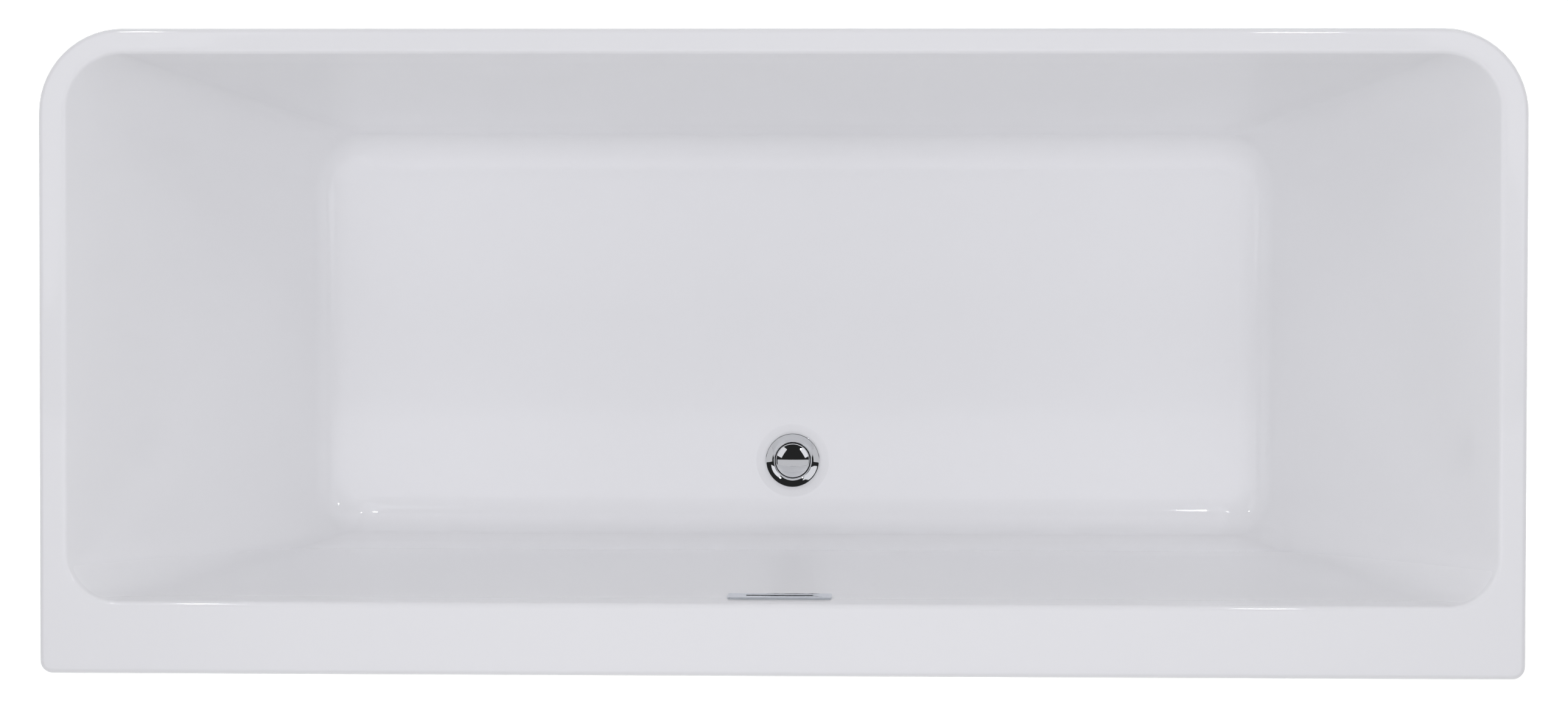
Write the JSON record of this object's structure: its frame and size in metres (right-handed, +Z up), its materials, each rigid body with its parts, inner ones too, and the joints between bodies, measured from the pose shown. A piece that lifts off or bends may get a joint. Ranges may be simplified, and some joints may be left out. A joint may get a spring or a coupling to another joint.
{
  "type": "back-to-wall bathtub",
  "caption": "Back-to-wall freestanding bathtub with sloping ends, flat floor, rear deck, push-plug waste, overflow, outer skirt, steel cradle and levelling feet.",
  "frame": {"origin": "on the floor under the middle of the tub, with the levelling feet screwed in", "axes": "+Z up, +X along the length, -Y towards the front of the tub, +Y towards the wall it stands against"},
  "size_m": [1.7, 0.74, 0.58],
  "materials": {
    "acrylic": "glossy vacuum-formed white acrylic",
    "skirt_acrylic": "glossy white acrylic sheet",
    "glass_fibre": "chopped glass fibre in polyester resin, rough",
    "board": "resin-coated chipboard",
    "timber": "planed softwood",
    "sealant": "white sealant, satin",
    "frame_steel": "black powder coat",
    "zinc_steel": "zinc plate",
    "foot_plastic": "black nylon",
    "chrome": "polished chrome plate",
    "rubber": "matte black rubber",
    "brass": "turned brass",
    "spring_steel": "bright spring steel",
    "waste_plastic": "white polypropylene, satin",
    "hose_plastic": "grey corrugated polypropylene",
    "pipe_plastic": "white rigid waste pipe, satin"
  },
  "bodies": {
    "bath": {"base_board": "board", "bearer_left": "frame_steel", "bearer_middle": "frame_steel", "bearer_right": "frame_steel", "bearer_screws": "zinc_steel", "board_screws": "zinc_steel", "bracket_screws": "zinc_steel", "cartridge_spring": "spring_steel", "click_cartridge": "brass", "deck_battens": "timber", "dip_tube": "waste_plastic", "drain_flange": "chrome", "end_brackets": "zinc_steel", "flange_seal": "rubber", "foot_nuts": "zinc_steel", "frame_rail_back": "frame_steel", "frame_rail_front": "frame_steel", "front_brackets": "zinc_steel", "glass_fibre_backing": "glass_fibre", "hose_nut_bottom": "waste_plastic", "hose_nut_top": "waste_plastic", "lock_nuts": "zinc_steel", "outer_skirt": "skirt_acrylic", "outlet_nut": "waste_plastic", "outlet_pipe": "pipe_plastic", "overflow_gasket": "rubber", "overflow_hose": "hose_plastic", "overflow_housing": "waste_plastic", "overflow_insert": "waste_plastic", "overflow_plate": "chrome", "overflow_screws": "zinc_steel", "rim_sealant": "sealant", "trap_body": "waste_plastic", "trap_nut": "waste_plastic", "tub_shell": "acrylic", "waste_body": "waste_plastic", "waste_gasket": "rubber"},
    "plug": {"plug_cap": "chrome", "plug_seal": "rubber", "plug_stem": "brass"},
    "foot_1_pad": {"foot_1_pad": "foot_plastic"},
    "foot_1_stud": {"foot_1_stud": "zinc_steel"},
    "foot_2_pad": {"foot_2_pad": "foot_plastic"},
    "foot_2_stud": {"foot_2_stud": "zinc_steel"},
    "foot_3_pad": {"foot_3_pad": "foot_plastic"},
    "foot_3_stud": {"foot_3_stud": "zinc_steel"},
    "foot_4_pad": {"foot_4_pad": "foot_plastic"},
    "foot_4_stud": {"foot_4_stud": "zinc_steel"},
    "foot_5_pad": {"foot_5_pad": "foot_plastic"},
    "foot_5_stud": {"foot_5_stud": "zinc_steel"}
  },
  "joints": [
    {"name": "plug_lift", "type": "slide", "parent": "bath", "child": "plug", "axis": [0, 0, 1], "range_m": [0, 0.0075], "deforming": ["cartridge_spring"]},
    {"name": "foot_1_lift", "type": "slide", "parent": "bath", "child": "foot_1_pad", "axis": [0, 0, -1], "range_m": [0, 0.0175]},
    {"name": "foot_1_turn", "type": "hinge", "parent": "foot_1_pad", "child": "foot_1_stud", "pos_m": [-0.56, -0.225, 0.045], "axis": [0, 0, -1], "range_deg": [0, 3600]},
    {"name": "foot_2_lift", "type": "slide", "parent": "bath", "child": "foot_2_pad", "axis": [0, 0, -1], "range_m": [0, 0.0175]},
    {"name": "foot_2_turn", "type": "hinge", "parent": "foot_2_pad", "child": "foot_2_stud", "pos_m": [-0.56, 0.18, 0.045], "axis": [0, 0, -1], "range_deg": [0, 3600]},
    {"name": "foot_3_lift", "type": "slide", "parent": "bath", "child": "foot_3_pad", "axis": [0, 0, -1], "range_m": [0, 0.0175]},
    {"name": "foot_3_turn", "type": "hinge", "parent": "foot_3_pad", "child": "foot_3_stud", "pos_m": [0.56, -0.225, 0.045], "axis": [0, 0, -1], "range_deg": [0, 3600]},
    {"name": "foot_4_lift", "type": "slide", "parent": "bath", "child": "foot_4_pad", "axis": [0, 0, -1], "range_m": [0, 0.0175]},
    {"name": "foot_4_turn", "type": "hinge", "parent": "foot_4_pad", "child": "foot_4_stud", "pos_m": [0.56, 0.18, 0.045], "axis": [0, 0, -1], "range_deg": [0, 3600]},
    {"name": "foot_5_lift", "type": "slide", "parent": "bath", "child": "foot_5_pad", "axis": [0, 0, -1], "range_m": [0, 0.0175]},
    {"name": "foot_5_turn", "type": "hinge", "parent": "foot_5_pad", "child": "foot_5_stud", "pos_m": [0, -0.055, 0.045], "axis": [0, 0, -1], "range_deg": [0, 3600]}
  ],
  "couplings": [
    {"joint": "foot_1_turn", "follows": "foot_1_lift", "rad_per_m": 3590.4},
    {"joint": "foot_2_turn", "follows": "foot_2_lift", "rad_per_m": 3590.4},
    {"joint": "foot_3_turn", "follows": "foot_3_lift", "rad_per_m": 3590.4},
    {"joint": "foot_4_turn", "follows": "foot_4_lift", "rad_per_m": 3590.4},
    {"joint": "foot_5_turn", "follows": "foot_5_lift", "rad_per_m": 3590.4}
  ]
}
